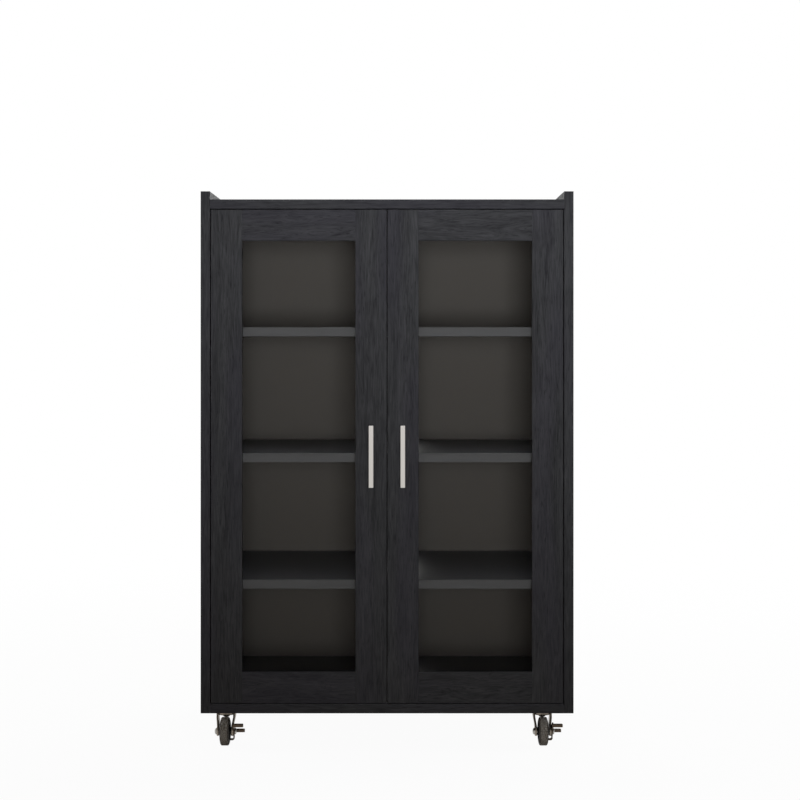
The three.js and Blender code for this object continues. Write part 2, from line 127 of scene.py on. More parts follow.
def drawLine(name, points, closed):  # one vertex, drawn out from point to point
    clearSelection()
    bpy.ops.mesh.primitive_plane_add(size=mm, location=points[0])
    piece = bpy.context.object
    piece.name = name
    settle(piece)
    bpy.ops.object.mode_set(mode="EDIT")
    bpy.ops.mesh.select_mode(type="VERT")
    bpy.ops.mesh.select_all(action="SELECT")
    bpy.ops.mesh.merge(type="CENTER")
    corners = [Vector(point) for point in points]
    if closed:
        corners.append(corners[0])
    for here, there in zip(corners, corners[1:]):
        bpy.ops.mesh.extrude_vertices_move(TRANSFORM_OT_translate={"value": there - here})
    bpy.ops.mesh.select_all(action="SELECT")
    bpy.ops.mesh.remove_doubles(threshold=0.001 * mm)
    return piece


def drawPlate(name, points, reach):  # an outline, filled and drawn out along reach
    piece = drawLine(name, points, closed=True)
    bpy.ops.mesh.edge_face_add()
    bpy.ops.mesh.extrude_region_move(TRANSFORM_OT_translate={"value": Vector(reach)})
    faceOutwards()
    clearSelection()
    return piece


def turnProfile(name, profile, centre, axis, steps, closed=False):  # profile of (radius, height) pairs
    outward = axes["Z"] if axis == "X" else axes["X"]
    points = [Vector(centre) + outward * radius + axes[axis] * height for radius, height in profile]
    piece = drawLine(name, points, closed)
    bpy.ops.mesh.spin(steps=steps, angle=2 * math.pi, center=centre, axis=axes[axis])
    bpy.ops.mesh.select_all(action="SELECT")
    bpy.ops.mesh.remove_doubles(threshold=0.001 * mm)
    faceOutwards()
    clearSelection()
    return piece


def arc(centreX, centreY, radius, start, end, steps):  # degrees, anticlockwise
    angles = [math.radians(start + (end - start) * step / steps) for step in range(steps + 1)]
    return [(centreX + radius * math.cos(a), centreY + radius * math.sin(a)) for a in angles]


def useModifier(piece, kind, **settings):
    takeUp(piece)
    modifier = piece.modifiers.new(kind.lower(), kind)
    for name, value in settings.items():
        setattr(modifier, name, value)
    bpy.ops.object.modifier_apply(modifier=modifier.name)
    return piece


def joined(pieces):
    clearSelection()
    for piece in pieces:
        piece.select_set(True)
    bpy.context.view_layer.objects.active = pieces[0]
    bpy.ops.object.join()
    return pieces[0]


def combine(piece, others, operation):  # UNION or DIFFERENCE; cut faces keep the tool's finish
    for other in others:
        useModifier(
            piece, "BOOLEAN", operation=operation, solver="EXACT", object=other, material_mode="TRANSFER")
        bpy.data.objects.remove(other)
    return piece


def smoothOver(piece, degrees=35):
    takeUp(piece)
    bpy.ops.object.shade_smooth_by_angle(angle=math.radians(degrees))
    return piece


def copyTo(piece, name, offset=(0, 0, 0), flip=False):  # flip mirrors it in the cabinet's middle plane
    takeUp(piece)
    bpy.ops.object.duplicate(linked=False)
    made = bpy.context.object
    made.name = name
    made.location = offset
    made.scale.x = -1 if flip else 1
    settle(made)
    if flip:
        bpy.ops.object.mode_set(mode="EDIT")
        faceOutwards()
        clearSelection()
    return made


def paint(piece, finish):
    piece.data.materials.clear()
    piece.data.materials.append(finish)
    return piece


def paintFaces(piece, finish, test):  # a second finish on the faces that pass
    piece.data.materials.append(finish)
    for face in piece.data.polygons:
        if test(face):
            face.material_index = len(piece.data.materials) - 1
    return piece


def fit(piece, body, slot, *stoodFor):
    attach(piece, body)
    if stoodFor:
        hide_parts(*stoodFor)
    return piece


def pieceName(node):  # left_door_handle becomes leftDoorHandle
    first, *others = node.split("_")
    return first + "".join(word.capitalize() for word in others)


def middleOf(node):
    low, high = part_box(node)
    return (low + high) / 2


def faceMiddle(node, axis):  # the middle of its face towards +X, +Y or +Z
    middle, index = middleOf(node), "XYZ".index(axis)
    middle[index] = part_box(node)[1][index]
    return middle


def twoAlongZ(centre, reach):
    return [centre - axes["Z"] * reach, centre + axes["Z"] * reach]


# Finishes

def linear(hexColour):  # sRGB hex to the linear values that a shader takes
    channels = [int(hexColour[i:i + 2], 16) / 255 for i in (1, 3, 5)]
    return [*(c / 12.92 if c <= 0.04045 else ((c + 0.055) / 1.055) ** 2.4 for c in channels), 1]


def addNode(material, kind, inputs, **settings):  # an input is a plain value or another node's output
    tree = material.node_tree
    node = tree.nodes.new(kind)
    for name, value in settings.items():
        setattr(node, name, value)
    for name, value in inputs.items():
        if isinstance(value, bpy.types.NodeSocket):
            tree.links.new(value, node.inputs[name])
        else:
            node.inputs[name].default_value = value
    return node


def startFinish(name, sockets):
    material = bpy.data.materials.new(name)
    material.use_nodes = True
    shader = material.node_tree.nodes["Principled BSDF"]
    for socket, value in sockets.items():
        shader.inputs[socket].default_value = value
    return material, shader


def link(material, output, shader, socket):
    material.node_tree.links.new(output, shader.inputs[socket])


def perMm(*sizes):  # Mapping scale that makes one noise cell this many millimetres long on each axis
    return [1 / (size * mm) for size in sizes]


def grainCell(across, along, grain):
    return perMm(*(along if axis == grain else across for axis in "XYZ"))


def addPattern(material, source, scale, detail, roughness=0.5, offset=0):  # noise with cells of a real size
    spread = addNode(material, "ShaderNodeMapping", {
        "Vector": source, "Scale": scale, "Location": (offset, offset, offset)})
    pattern = addNode(material, "ShaderNodeTexNoise", {
        "Vector": spread.outputs[0], "Scale": 1, "Detail": detail, "Roughness": roughness})
    return pattern.outputs


oakLook = {
    "dark": "#1f1f20",
    "light": "#343435",
    "violet": "#29272e",
    "poreDark": "#121214",
    "streak": (1.9, 34),  # across and along the grain, mm
    "band": (12, 210),
    "banding": 0.3,  # how much the broad bands count beside the streaks
    "pore": (1.0, 17),
    "tint": (35, 260),
    "drift": (24, 130),  # how far apart the grain's bends are
    "wander": 5,  # how far the grain bends sideways, mm
    "railWander": 16,
    "relief": 0.12,  # depth of the embossed pores, mm
    "gloss": (0.58, 0.44),  # roughness in the dark and in the light streaks
}


# Paper foil over particle board, printed and embossed as black oak: a satin black-grey with fine wavy
# streaks along the grain and short dark pores.
def makeOakFoil(name, grain, wander, offset=0):
    look = oakLook
    material, shader = startFinish(name, {"Specular IOR Level": 0.035, "Roughness": 0.5})
    place = addNode(material, "ShaderNodeTexCoord", {}).outputs["Object"]

    def figure(source, cell, detail):
        return addPattern(material, source, grainCell(*look[cell], grain), detail, 0.55, offset)

    drift = figure(place, "drift", 1)["Color"]
    bend = addNode(material, "ShaderNodeVectorMath", {0: drift, 1: (0.5, 0.5, 0.5)}, operation="SUBTRACT")
    shift = addNode(material, "ShaderNodeVectorMath", {
        0: bend.outputs[0], "Scale": 2 * wander * mm}, operation="SCALE")
    wavy = addNode(material, "ShaderNodeVectorMath", {0: place, 1: shift.outputs[0]}).outputs[0]

    streak = figure(wavy, "streak", 2)[0]
    band = figure(wavy, "band", 1)[0]
    pore = figure(wavy, "pore", 1)[0]
    blend = addNode(material, "ShaderNodeMix", {0: look["banding"], 2: streak, 3: band})
    tone = addNode(material, "ShaderNodeMapRange", {
        "Value": blend.outputs[0], "From Min": 0.3, "From Max": 0.7})
    openPore = addNode(material, "ShaderNodeMapRange", {
        "Value": pore, "From Min": 0.6, "From Max": 0.7, "To Max": 0.55})

    grey = addNode(material, "ShaderNodeMix", {
        0: tone.outputs[0], 6: linear(look["dark"]), 7: linear(look["light"])}, data_type="RGBA")
    tint = figure(place, "tint", 0)[0]
    cast = addNode(material, "ShaderNodeMapRange", {
        "Value": tint, "From Min": 0.42, "From Max": 0.7, "To Max": 0.28})
    tinted = addNode(material, "ShaderNodeMix", {
        0: cast.outputs[0], 6: grey.outputs[2], 7: linear(look["violet"])}, data_type="RGBA")
    shade = addNode(material, "ShaderNodeMix", {
        0: openPore.outputs[0], 6: tinted.outputs[2], 7: linear(look["poreDark"])}, data_type="RGBA")
    link(material, shade.outputs[2], shader, "Base Color")

    dull, shiny = look["gloss"]
    gloss = addNode(material, "ShaderNodeMapRange", {"Value": streak, "To Min": dull, "To Max": shiny})
    link(material, gloss.outputs[0], shader, "Roughness")
    height = addNode(material, "ShaderNodeMath", {0: streak, 1: openPore.outputs[0]}, operation="SUBTRACT")
    bump = addNode(material, "ShaderNodeBump", {
        "Strength": 0.5, "Distance": look["relief"] * mm, "Height": height.outputs[0]})
    link(material, bump.outputs[0], shader, "Normal")
    return material


shelfLook = {"dark": "#3a3a3c", "light": "#47474a", "streak": (0.8, 60)}  # across and along, mm


# Melamine foil on the shelves: a plain dark grey with faint drawn lines along their length.
def makeShelfFoil():
    material, shader = startFinish("plainMelamineFoil", {"Specular IOR Level": 0.2, "Roughness": 0.45})
    place = addNode(material, "ShaderNodeTexCoord", {}).outputs["Object"]
    lines = addPattern(material, place, grainCell(*shelfLook["streak"], "X"), 1)[0]
    tone = addNode(material, "ShaderNodeMix", {
        0: lines, 6: linear(shelfLook["dark"]), 7: linear(shelfLook["light"])}, data_type="RGBA")
    link(material, tone.outputs[2], shader, "Base Color")
    bump = addNode(material, "ShaderNodeBump", {"Strength": 0.2, "Distance": 0.03 * mm, "Height": lines})
    link(material, bump.outputs[0], shader, "Normal")
    return material


# Wood fibres or chips pressed flat: blotchy and matt, coarser in chipboard than in hardboard. Paint
# makes the hardboard nearly even.
def makePressedWood(name, dark, light, cell, roughness, relief=0.1):  # cell and relief in mm
    material, shader = startFinish(name, {"Specular IOR Level": 0.15, "Roughness": roughness})
    place = addNode(material, "ShaderNodeTexCoord", {}).outputs["Object"]
    fibres = addPattern(material, place, perMm(cell, cell, cell), 4, 0.7)[0]
    tone = addNode(material, "ShaderNodeMapRange", {"Value": fibres, "From Min": 0.35, "From Max": 0.65})
    colour = addNode(material, "ShaderNodeMix", {
        0: tone.outputs[0], 6: linear(dark), 7: linear(light)}, data_type="RGBA")
    link(material, colour.outputs[2], shader, "Base Color")
    bump = addNode(material, "ShaderNodeBump", {"Strength": 0.4, "Distance": relief * mm, "Height": fibres})
    link(material, bump.outputs[0], shader, "Normal")
    return material


metalLook = {
    # brushed or barrel-plated: base colours, cell of the marks in mm on X, Y and Z, roughness range
    "brushedNickel": ("#bdb9b3", "#d6d2cd", (0.5, 0.5, 30), (0.34, 0.46)),
    "platedNickel": ("#a8a5a1", "#bcb9b5", (6, 6, 6), (0.24, 0.36)),
    "zincPlatedSteel": ("#766d62", "#978d81", (5, 5, 5), (0.34, 0.5)),
    "bronzedSteel": ("#3f342b", "#554a3f", (5, 5, 5), (0.36, 0.5)),
    "brightZinc": ("#94918b", "#b0ada7", (3, 3, 3), (0.3, 0.42)),
}


# Metal with fine marks. Brushed nickel shows soft lines along the bar; plated pressings show only a
# faint uneven gloss. The casters' zinc is a dull grey-brown, their brake levers are browner and their
# bolts brighter.
def makeMetal(name):
    dark, light, cell, (smooth, rough) = metalLook[name]
    material, shader = startFinish(name, {"Metallic": 1.0})
    place = addNode(material, "ShaderNodeTexCoord", {}).outputs["Object"]
    marks = addPattern(material, place, perMm(*cell), 3)[0]
    colour = addNode(material, "ShaderNodeMix", {
        0: marks, 6: linear(dark), 7: linear(light)}, data_type="RGBA")
    link(material, colour.outputs[2], shader, "Base Color")
    gloss = addNode(material, "ShaderNodeMapRange", {
        "Value": marks, "From Min": 0.3, "From Max": 0.7, "To Min": smooth, "To Max": rough})
    link(material, gloss.outputs[0], shader, "Roughness")
    bump = addNode(material, "ShaderNodeBump", {"Strength": 0.15, "Distance": 0.02 * mm, "Height": marks})
    link(material, bump.outputs[0], shader, "Normal")
    return material


# Moulded or extruded black plastic and rubber: matt, with a fine grained skin. The tyres' tread is
# painted paler than their shoulders, a painted highlight with painted shade towards the shoulders, and its
# grit is drawn coarser than real, so that it shows.
def makeMoulded(name, dark, light, grit, roughness, relief, specular=0.3):  # grit and relief in mm
    material, shader = startFinish(name, {"Specular IOR Level": specular})
    place = addNode(material, "ShaderNodeTexCoord", {}).outputs["Object"]
    skin = addPattern(material, place, perMm(grit, grit, grit), 2)[0]
    tone = addNode(material, "ShaderNodeMapRange", {"Value": skin, "From Min": 0.35, "From Max": 0.65})
    colour = addNode(material, "ShaderNodeMix", {
        0: tone.outputs[0], 6: linear(dark), 7: linear(light)}, data_type="RGBA")
    link(material, colour.outputs[2], shader, "Base Color")
    gloss = addNode(material, "ShaderNodeMapRange", {
        "Value": skin, "To Min": roughness - 0.08, "To Max": roughness + 0.08})
    link(material, gloss.outputs[0], shader, "Roughness")
    bump = addNode(material, "ShaderNodeBump", {"Strength": 0.5, "Distance": relief * mm, "Height": skin})
    link(material, bump.outputs[0], shader, "Normal")
    return material


# Clear float glass: colourless through the pane, faintly green at the edges. Lamps and soft light pass
# straight through it, so that the shelves behind are lit. Its IOR is below that of real glass, so that
# the white room shows in it only as a trace.
def makeGlass(name, colour, roughness):
    material, shader = startFinish(name, {
        "Base Color": linear(colour), "Roughness": roughness, "IOR": 1.05, "Transmission Weight": 1.0})
    rays = addNode(material, "ShaderNodeLightPath", {})
    clear = addNode(material, "ShaderNodeBsdfTransparent", {"Color": linear(colour)})
    soft = addNode(material, "ShaderNodeMixShader", {
        0: rays.outputs["Is Diffuse Ray"], 1: shader.outputs[0], 2: clear.outputs[0]})
    lit = addNode(material, "ShaderNodeMixShader", {
        0: rays.outputs["Is Shadow Ray"], 1: soft.outputs[0], 2: clear.outputs[0]})
    output = material.node_tree.nodes["Material Output"]
    link(material, lit.outputs[0], output, "Surface")
    return material


finishes = {
    "uprightOak": makeOakFoil("blackOakFoilUpright", "Z", oakLook["wander"]),
    "levelOak": makeOakFoil("blackOakFoilLevel", "X", oakLook["wander"], offset=3),
    "railOak": makeOakFoil("blackOakFoilRail", "X", oakLook["railWander"], offset=7),
    "shelf": makeShelfFoil(),
    "chipboard": makePressedWood("rawChipboard", "#6b4f36", "#a88660", 1.6, 0.85),
    "backFront": makePressedWood("paintedHardboard", "#444140", "#484544", 2.5, 0.6, relief=0.015),
    "backRear": makePressedWood("rawHardboard", "#3a2f27", "#4a3d33", 2.0, 0.75),
    "glass": makeGlass("clearFloatGlass", "#f8f8f5", 0.0),
    "glassEdge": makeGlass("groundGlassEdge", "#b9d6cb", 0.25),
    "bead": makeMoulded("extrudedVinyl", "#161616", "#202020", 1.2, 0.55, 0.02),
    "wheelSide": makeMoulded("mouldedNylon", "#0b0b0b", "#151514", 0.8, 0.5, 0.03, 0.05),
    "shoulder": makeMoulded("mouldedRubberShadedShoulder", "#3a3836", "#5a5753", 0.9, 0.7, 0.08, 0.08),
    "tread": makeMoulded("mouldedRubberLitTread", "#55524e", "#8b8882", 1.2, 0.8, 0.14, 0.08),
    "handle": makeMetal("brushedNickel"),
    "nickel": makeMetal("platedNickel"),
    "caster": makeMetal("zincPlatedSteel"),
    "brake": makeMetal("bronzedSteel"),
    "bolt": makeMetal("brightZinc"),
}
print("finishes:", len(finishes))


# The case

boardLook = {
    "easing": 0.4 * mm,
    "holeStep": 32 * mm,
    "holeRadius": 2.8 * mm,
    "holeDepth": 10 * mm,
    "pinDrop": 0.1 * mm,  # how far a pin sinks in its hole
    "rebateDepth": 5 * mm,
    "rebateWidth": 6 * mm,
}


def makeSidePanel():
    look = boardLook
    low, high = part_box("side_panel_left")
    panel = paint(startBlock("sidePanelLeft", low, high), finishes["uprightOak"])
    easeEdges(panel, look["easing"])
    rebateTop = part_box("top_panel")[1].z
    rebate = startBlock(
        "rebate",
        (high.x - look["rebateWidth"], high.y - look["rebateDepth"], low.z - mm),
        (high.x + mm, high.y + mm, rebateTop))
    holes = []
    for shelf in ("upper", "lower"):
        for column in ("front", "rear"):
            pin = middleOf(f"shelf_pin_{shelf}_left_{column}")
            for step in (-1, 0, 1):
                height = pin.z + look["pinDrop"] + step * look["holeStep"]
                start = (high.x - look["holeDepth"], pin.y, height)
                holes.append(startRod("hole", "X", start, look["holeRadius"], look["holeDepth"] + mm, 32))
    tools = [paint(rebate, finishes["uprightOak"]), paint(joined(holes), finishes["chipboard"])]
    return combine(panel, tools, "DIFFERENCE")


def makeBoard(node, finish):
    board = paint(startBlock(pieceName(node), *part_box(node)), finishes[finish])
    return easeEdges(board, boardLook["easing"])


backLook = {
    "easing": 0.3 * mm,
    "holeRadius": 25 * mm,
    "holeSet": 27 * mm,  # from the middle towards +X
    "nailPitch": 135 * mm,
    "nailInset": 3 * mm,
    "nailRadius": 2.2 * mm,
    "nailRise": 0.49 * mm,  # above the floor of its dimple
    "nailEasing": 0.2 * mm,
    "dimpleRadius": 2.53 * mm,
    "dimpleDepth": 0.7 * mm,
}


def makeBackPanel():
    look = backLook
    low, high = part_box("back_panel")
    panel = paint(startBlock("backPanel", low, high), finishes["backRear"])
    easeEdges(panel, look["easing"])
    paintFaces(panel, finishes["backFront"], lambda face: face.normal.y < -0.9)
    levels = ("bottom_panel", "lower_shelf", "middle_shelf", "upper_shelf", "top_panel")
    holes = []
    for below, above in zip(levels, levels[1:]):
        start = (look["holeSet"], low.y - mm, (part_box(below)[1].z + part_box(above)[0].z) / 2)
        holes.append(startRod("hole", "Y", start, look["holeRadius"], high.y - low.y + 2 * mm, 72))
    combine(panel, [paint(joined(holes), finishes["backRear"])], "DIFFERENCE")

    # nails up both sides, and three more along the bottom panel and along the top panel
    bottom, top = middleOf("bottom_panel").z, middleOf("top_panel").z
    columns = (low.x + look["nailInset"], high.x - look["nailInset"])
    count = round((top - bottom) / look["nailPitch"])
    nailPlaces = [(x, bottom + (top - bottom) * step / count) for x in columns for step in range(count + 1)]
    acrossStep = (high.x - low.x) / 4
    nailPlaces += [(low.x + acrossStep * step, z) for z in (bottom, top) for step in (1, 2, 3)]
    depth = look["dimpleDepth"]
    dimples, nails = [], []
    for x, z in nailPlaces:
        floor = high.y - depth
        dimples.append(startRod("dimple", "Y", (x, floor, z), look["dimpleRadius"], 2 * depth, 20))
        head = startRod("nail", "Y", (x, floor - mm, z), look["nailRadius"], look["nailRise"] + mm, 20)
        nails.append(easeEdges(head, look["nailEasing"]))
    combine(panel, [paint(joined(dimples), finishes["backRear"])], "DIFFERENCE")
    nailHeads = paint(joined(nails), finishes["nickel"])
    nailHeads.name = "backPanelNails"
    return panel, nailHeads


sidePanel = makeSidePanel()
fit(copyTo(sidePanel, "sidePanelRight", flip=True), "case", "black_oak_board", "side_panel_right")
fit(sidePanel, "case", "black_oak_board", "side_panel_left")
for node, finish in {
    "top_panel": "levelOak",
    "bottom_panel": "levelOak",
    "upper_shelf": "shelf",
    "middle_shelf": "shelf",
    "lower_shelf": "shelf",
}.items():
    board = makeBoard(node, finish)
    if node == "bottom_panel":  # plain inside, like the shelves
        paintFaces(board, finishes["shelf"], lambda face: face.normal.z > 0.9)
    fit(board, "case", "black_oak_board", node)
backPanel, backNails = makeBackPanel()
fit(backPanel, "case", "hardboard", "back_panel")
fit(backNails, "case", "satin_nickel")
print("case: boards and back panel")


# Screws and pins

screwLook = {
    "slotWidth": 0.9 * mm,
    "slotDepth": 0.9 * mm,
    "slotReach": 0.55,  # as a share of the head's radius
    "shoulder": 0.35,  # height of the head's straight side, as a share of the whole head's
    "sunk": 0.4 * mm,
}


def makeScrew(name, axis, radius, height, finish):
    # a pan head with a cross recess, standing out along the axis from the origin
    look = screwLook
    shoulder = look["shoulder"] * height
    dome = [(radius * math.cos(math.radians(a)), shoulder + (height - shoulder) * math.sin(math.radians(a)))
            for a in (0, 25, 50, 70, 90)]
    head = turnProfile(name, [(0, -look["sunk"]), (radius, -look["sunk"]), *dome], (0, 0, 0), axis, 24)
    halfWidth, reach = look["slotWidth"] / 2, look["slotReach"] * radius
    others = [key for key in "XYZ" if key != axis]
    bars = []
    for long, short in (others, others[::-1]):
        corner = axes[long] * reach + axes[short] * halfWidth
        bars.append(startBlock(
            "bar", axes[axis] * (height - look["slotDepth"]) - corner, axes[axis] * (height + mm) + corner))
    combine(head, bars, "DIFFERENCE")
    return paint(smoothOver(head), finish)


def placeScrews(name, pattern, places, body, slot):
    copies = [copyTo(pattern, name, place) for place in places]
    return fit(joined(copies), body, slot)


pinLook = {
    "radius": 2.5 * mm,
    "inHole": 9 * mm,
    "collarRadius": 4 * mm,
    "collarWidth": 1.4 * mm,
    "easing": 0.4 * mm,
}


def makeShelfPin(node, inward):  # inward is +1 where the pin points to +X
    low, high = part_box(node)
    centre = (low + high) / 2
    start = low.x if inward > 0 else high.x
    radius, collar, ease, inHole = (pinLook[key] for key in ("radius", "collarRadius", "easing", "inHole"))
    collarEnd, whole = inHole + pinLook["collarWidth"], high.x - low.x
    profile = [
        (0, 0), (radius - ease, 0), (radius, ease), (radius, inHole),
        (collar - ease, inHole), (collar, inHole + ease),
        (collar, collarEnd - ease), (collar - ease, collarEnd),
        (radius, collarEnd), (radius, whole - ease), (radius - ease, whole), (0, whole)]
    along = [(r, inward * h) for r, h in profile]
    pin = turnProfile(pieceName(node), along, (start, centre.y, centre.z), "X", 32)
    return paint(smoothOver(pin), finishes["nickel"])


for shelf in ("upper", "lower"):
    for side, inward in (("left", 1), ("right", -1)):
        for column in ("front", "rear"):
            node = f"shelf_pin_{shelf}_{side}_{column}"
            fit(makeShelfPin(node, inward), "case", "satin_nickel", node)
print("shelf pins: 8")


# The doors. Each piece is made for the left door and mirrored for the right one.

doorLook = {
    "easing": 0.35 * mm,
    "jointEasing": 0.25 * mm,
    "paneEasing": 0.4 * mm,
    "lap": 8 * mm,  # of the frame over the pane's edge
    "boreRadius": 17.9 * mm,  # 0.4 mm more than the hinge cup's
    "boreFloor": 3.3 * mm,
}
glassLow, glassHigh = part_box("left_door_glass")


def makeStile(node, towardsGlass):
    look = doorLook
    low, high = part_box(node)
    lipBack = glassLow.y
    outer, inner = (low.x, high.x) if towardsGlass > 0 else (high.x, low.x)
    rebate = inner - towardsGlass * look["lap"]
    section = [
        (outer, low.y), (inner, low.y), (inner, lipBack),
        (rebate, lipBack), (rebate, high.y), (outer, high.y)]
    stile = drawPlate(pieceName(node), [(x, y, low.z) for x, y in section], (0, 0, high.z - low.z))
    return easeEdges(paint(stile, finishes["uprightOak"]), look["easing"])


def makeHingeStile():
    stile = makeStile("left_door_hinge_stile", 1)
    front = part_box("left_door_hinge_stile")[0].y
    bores = []
    for place in ("lower", "upper"):
        centre = middleOf(f"left_hinge_cup_{place}")
        start = (centre.x, front + doorLook["boreFloor"], centre.z)
        bores.append(startRod("bore", "Y", start, doorLook["boreRadius"], 20 * mm, 72))
    return combine(stile, [paint(joined(bores), finishes["chipboard"])], "DIFFERENCE")


def makeRail(node, towardsGlass):  # +1 where the glass is above the rail
    look = doorLook
    low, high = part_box(node)
    lipBack = glassLow.y
    outer, inner = (low.z, high.z) if towardsGlass > 0 else (high.z, low.z)
    rebate = inner - towardsGlass * look["lap"]
    lipStart = low.x + look["lap"]  # the rear part laps into the stiles' rebates
    lipEnd = high.x - look["lap"]
    section = [
        (low.y, outer), (low.y, inner), (lipBack, inner),
        (lipBack, rebate), (high.y, rebate), (high.y, outer)]
    rail = drawPlate(pieceName(node), [(lipStart, y, z) for y, z in section], (lipEnd - lipStart, 0, 0))
    choose(rail, "FACE", lambda face: True)
    bpy.ops.mesh.bisect(plane_co=(0, lipBack, 0), plane_no=(0, 1, 0))
    clearSelection()
    for way in (-1, 1):
        choose(rail, "FACE", lambda face: face.normal.x * way > 0.9 and face.calc_center_median().y > lipBack)
        bpy.ops.mesh.extrude_region_move(TRANSFORM_OT_translate={"value": (way * look["lap"], 0, 0)})
        clearSelection()
    return easeEdges(paint(rail, finishes["railOak"]), look["jointEasing"])


def makePane():
    pane = startBlock("leftDoorGlass", glassLow, glassHigh)
    easeEdges(pane, doorLook["paneEasing"], segments=1)
    paint(pane, finishes["glass"])
    return paintFaces(pane, finishes["glassEdge"], lambda face: abs(face.normal.y) < 0.99)


beadLook = {"width": 7 * mm, "round": 4 * mm}


def makeBead():
    low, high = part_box("left_door_glazing_bead")
    width = beadLook["width"]
    corners = [(low.x, low.z), (high.x, low.z), (high.x, high.z), (low.x, high.z)]
    bead = drawLine("leftDoorGlazingBead", [(x, low.y, z) for x, z in corners], closed=True)
    bpy.ops.mesh.edge_face_add()
    bpy.ops.mesh.inset(thickness=width)
    bpy.ops.mesh.delete(type="FACE")
    bpy.ops.mesh.select_all(action="SELECT")
    bpy.ops.mesh.extrude_region_move(TRANSFORM_OT_translate={"value": (0, high.y - low.y, 0)})
    faceOutwards()
    clearSelection()
    middle, half = (low + high) / 2, (high - low) / 2

    def isInnerRearEdge(edge):
        point = (edge.verts[0].co + edge.verts[1].co) / 2
        fromMiddle = point - middle
        isInner = abs(fromMiddle.x) < half.x - width / 2 and abs(fromMiddle.z) < half.z - width / 2
        return isInner and point.y > high.y - 0.1 * mm and isSharp(edge)

    easeEdges(bead, beadLook["round"], 6, isInnerRearEdge)
    return paint(smoothOver(bead), finishes["bead"])


handleLook = {"thick": 7.5 * mm, "postRadius": 3.5 * mm, "postReach": 32 * mm, "easing": 0.9 * mm}


def makeHandle():
    look = handleLook
    low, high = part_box("left_door_handle")
    bar = startBlock("leftDoorHandle", low, (high.x, low.y + look["thick"], high.z))
    easeEdges(bar, look["easing"], 4)
    root = middleOf("left_door_handle")
    root.y = low.y + look["thick"] / 2
    posts = [startRod("post", "Y", start, look["postRadius"], high.y - root.y)
             for start in twoAlongZ(root, look["postReach"])]
    combine(bar, posts, "UNION")
    return paint(smoothOver(bar, 40), finishes["handle"])


gapShadeLook = {"thick": 1 * mm, "depth": 8 * mm, "inset": 1 * mm, "bedded": 0.3 * mm, "easing": 0.3 * mm}


# A dark strip put in the gap between the doors: painted shade, so that the gap reads as a dark line.
def makeGapShadeStrip():  # on the left door's lock edge, towards the back of the gap between the doors
    look = gapShadeLook
    low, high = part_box("left_door_lock_stile")
    back = high.y - look["inset"]
    seal = startBlock(
        "leftDoorSeal",
        (high.x - look["bedded"], back - look["depth"], low.z + look["inset"]),
        (high.x + look["thick"], back, high.z - look["inset"]))
    easeEdges(seal, look["easing"])
    return paint(smoothOver(seal), finishes["bead"])


fit(makeGapShadeStrip(), "left_door", "vinyl_bead")
leftDoorPieces = {
    "left_door_hinge_stile": (makeHingeStile(), "black_oak_board"),
    "left_door_lock_stile": (makeStile("left_door_lock_stile", -1), "black_oak_board"),
    "left_door_bottom_rail": (makeRail("left_door_bottom_rail", 1), "black_oak_board"),
    "left_door_top_rail": (makeRail("left_door_top_rail", -1), "black_oak_board"),
    "left_door_glass": (makePane(), "clear_glass"),
    "left_door_glazing_bead": (makeBead(), "vinyl_bead"),
    "left_door_handle": (makeHandle(), "satin_nickel"),
}
print("door pieces:", len(leftDoorPieces))


# The concealed hinges

hingeLook = {
    "cupRadius": 17.5 * mm,
    "mouth": 16.3 * mm,
    "outerBend": 2 * mm,  # at the cup's floor
    "innerBend": 1.6 * mm,
    "mouthEasing": 0.8 * mm,
    "sheet": 1 * mm,  # of the cup's floor
    "flange": 1 * mm,
    "flangeRing": 19 * mm,
    "flangeEasing": 0.4 * mm,
    "wingWidth": 18 * mm,
    "wingCorner": 5.5 * mm,
    "screwReach": 22.5 * mm,
    "pinRadius": 1.2 * mm,
    "pinHalf": 16 * mm,  # half its length
    "pinDepth": 7.2 * mm,  # behind the door's face
    "pinSet": 5.5 * mm,  # from the cup's middle towards the hinge edge
    "plateArm": 7 * mm,  # half the width of the cross plate's arms
    "plateCorner": 2.5 * mm,
    "plateScrewReach": 12.5 * mm,
    "easing": 0.5 * mm,
}


def makeCup(place):
    look = hingeLook
    low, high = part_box(f"left_hinge_cup_{place}")
    centre = (low + high) / 2
    floor, top = low.y, high.y
    under = top - look["flange"]
    radius, mouth, ring = look["cupRadius"], look["mouth"], look["flangeRing"]
    inside, outer, inner = floor + look["sheet"], look["outerBend"], look["innerBend"]
    lip, flare = look["flangeEasing"], look["mouthEasing"]
    profile = [
        (0, floor), (radius - outer, floor),
        (radius - 0.3 * outer, floor + 0.3 * outer), (radius, floor + outer),
        (radius, under), (ring, under), (ring, top - lip), (ring - lip, top),
        (mouth + flare, top), (mouth, top - flare),
        (mouth, inside + inner), (mouth - inner, inside), (0, inside)]
    cup = turnProfile(f"leftHingeCup{place.capitalize()}", profile, (centre.x, 0, centre.z), "Y", 64)
    half = look["wingWidth"] / 2
    corners = [(-half, low.z), (half, low.z), (half, high.z), (-half, high.z)]
    wings = drawPlate("wings", [(centre.x + x, under, z) for x, z in corners], (0, look["flange"], 0))
    easeEdges(wings, look["wingCorner"], 8, runsAlong("Y"))
    opening = startRod("opening", "Y", (centre.x, under - mm, centre.z), radius - lip, 4 * mm, 64)
    combine(wings, [opening], "DIFFERENCE")
    combine(cup, [wings], "UNION")
    pinFoot = (
        centre.x - look["pinSet"],
        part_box("left_door_hinge_stile")[0].y + look["pinDepth"],
        centre.z - look["pinHalf"])
    pin = startRod("pin", "Z", pinFoot, look["pinRadius"], 2 * look["pinHalf"], 24)
    combine(cup, [pin], "UNION")
    return paint(smoothOver(cup), finishes["nickel"])


